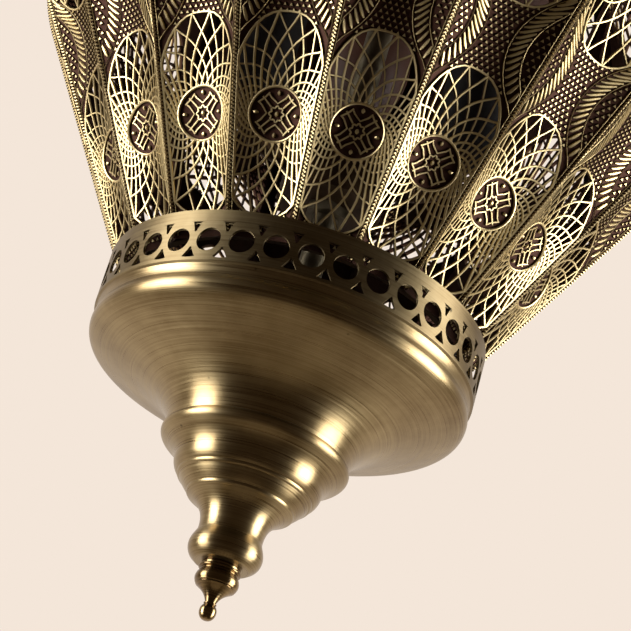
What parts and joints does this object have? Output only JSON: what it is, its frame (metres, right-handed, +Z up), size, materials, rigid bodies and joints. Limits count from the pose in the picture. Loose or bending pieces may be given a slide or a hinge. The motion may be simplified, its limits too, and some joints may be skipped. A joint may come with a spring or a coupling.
{
  "type": "hanging lantern",
  "caption": "Round hanging lantern: fluted filigree shade with a pierced-gallery bowl and finial below, hung by a chain from a ceiling canopy.",
  "frame": {"origin": "midway between the two ceiling screws, on the ceiling", "axes": "+Z up along the rod, towards the ceiling; -Y is the front"},
  "size_m": [0.2966, 0.292, 0.7243],
  "materials": {
    "filigree_brass": "antique brass filigree, blackened in the recesses and polished on the raised lines",
    "cap_brass": "brushed antique brass, lacquered",
    "chain_brass": "antique brass",
    "finial_bronze": "dark polished bronze tone",
    "inner_brass": "plain brass, tarnished",
    "zinc_steel": "zinc plated",
    "black_phenolic": "moulded black phenolic",
    "frosted_glass": "frosted white glass",
    "nickel_base": "nickel plated lamp base"
  },
  "bodies": {
    "canopy": {"canopy_bracket": "zinc_steel", "ceiling_canopy": "cap_brass", "canopy_nipple": "zinc_steel", "canopy_nut": "zinc_steel", "canopy_loop": "chain_brass", "terminal_block": "black_phenolic"},
    "chain_link_1": {"chain_link_1": "chain_brass"},
    "chain_link_2": {"chain_link_2": "chain_brass"},
    "chain_link_3": {"chain_link_3": "chain_brass"},
    "chain_link_4": {"chain_link_4": "chain_brass"},
    "chain_link_5": {"chain_link_5": "chain_brass"},
    "bottom_cap": {"bottom_cap": "cap_brass"},
    "finial_washer": {"finial_washer": "finial_bronze"},
    "finial": {"finial": "finial_bronze"},
    "bulb_1": {"bulb_base_1": "nickel_base", "bulb_glass_1": "frosted_glass"},
    "bulb_2": {"bulb_base_2": "nickel_base", "bulb_glass_2": "frosted_glass"},
    "bulb_3": {"bulb_base_3": "nickel_base", "bulb_glass_3": "frosted_glass"},
    "lantern": {"centre_rod": "zinc_steel", "cluster_body": "inner_brass", "cluster_cover": "inner_brass", "lamp_holder_1": "black_phenolic", "lamp_holder_2": "black_phenolic", "lamp_holder_3": "black_phenolic", "petal_01": "filigree_brass", "petal_02": "filigree_brass", "petal_03": "filigree_brass", "petal_04": "filigree_brass", "petal_05": "filigree_brass", "petal_06": "filigree_brass", "petal_07": "filigree_brass", "petal_08": "filigree_brass", "petal_09": "filigree_brass", "petal_10": "filigree_brass", "petal_11": "filigree_brass", "petal_12": "filigree_brass", "petal_13": "filigree_brass", "petal_14": "filigree_brass", "petal_15": "filigree_brass", "petal_16": "filigree_brass", "petal_17": "filigree_brass", "petal_18": "filigree_brass", "rod_locknuts": "zinc_steel", "shade_bottom_ring": "inner_brass", "shade_top_ring": "inner_brass", "socket_arms": "inner_brass", "top_cap": "cap_brass", "top_locknut": "zinc_steel", "top_loop": "chain_brass", "top_spider": "zinc_steel"}
  },
  "joints": [
    {"name": "chain_swing_1", "type": "hinge", "parent": "canopy", "child": "chain_link_1", "pos_m": [0, 0, -0.07075], "axis": [1, 0, 0], "range_deg": [-20, 20]},
    {"name": "chain_swing_2", "type": "hinge", "parent": "chain_link_1", "child": "chain_link_2", "pos_m": [0, 0, -0.10395], "axis": [0, 1, 0], "range_deg": [-20, 20]},
    {"name": "chain_swing_3", "type": "hinge", "parent": "chain_link_2", "child": "chain_link_3", "pos_m": [0, 0, -0.13765], "axis": [1, 0, 0], "range_deg": [-20, 20]},
    {"name": "chain_swing_4", "type": "hinge", "parent": "chain_link_3", "child": "chain_link_4", "pos_m": [0, 0, -0.17135], "axis": [0, 1, 0], "range_deg": [-20, 20]},
    {"name": "chain_swing_5", "type": "hinge", "parent": "chain_link_4", "child": "chain_link_5", "pos_m": [0, 0, -0.20505], "axis": [1, 0, 0], "range_deg": [-20, 20]},
    {"name": "lantern_swing", "type": "hinge", "parent": "chain_link_5", "child": "lantern", "pos_m": [0, 0, -0.23875], "axis": [0, 1, 0], "range_deg": [-20, 20]},
    {"name": "cap_drop", "type": "slide", "parent": "lantern", "child": "bottom_cap", "axis": [0, 0, -1], "range_m": [0, 0.12]},
    {"name": "washer_drop", "type": "slide", "parent": "bottom_cap", "child": "finial_washer", "axis": [0, 0, -1], "range_m": [0, 0.0081]},
    {"name": "finial_unscrew", "type": "hinge", "parent": "finial_washer", "child": "finial", "pos_m": [0, 0, -0.7087], "axis": [0, 0, -1], "range_deg": [0, 2880]},
    {"name": "bulb_lift_1", "type": "slide", "parent": "lantern", "child": "bulb_1", "axis": [0, 0, 1], "range_m": [0, 0.026]},
    {"name": "bulb_lift_2", "type": "slide", "parent": "lantern", "child": "bulb_2", "axis": [0, 0, 1], "range_m": [0, 0.026]},
    {"name": "bulb_lift_3", "type": "slide", "parent": "lantern", "child": "bulb_3", "axis": [0, 0, 1], "range_m": [0, 0.026]}
  ],
  "couplings": [
    {"joint": "washer_drop", "follows": "finial_unscrew", "m_per_rad": 0.00015915}
  ]
}
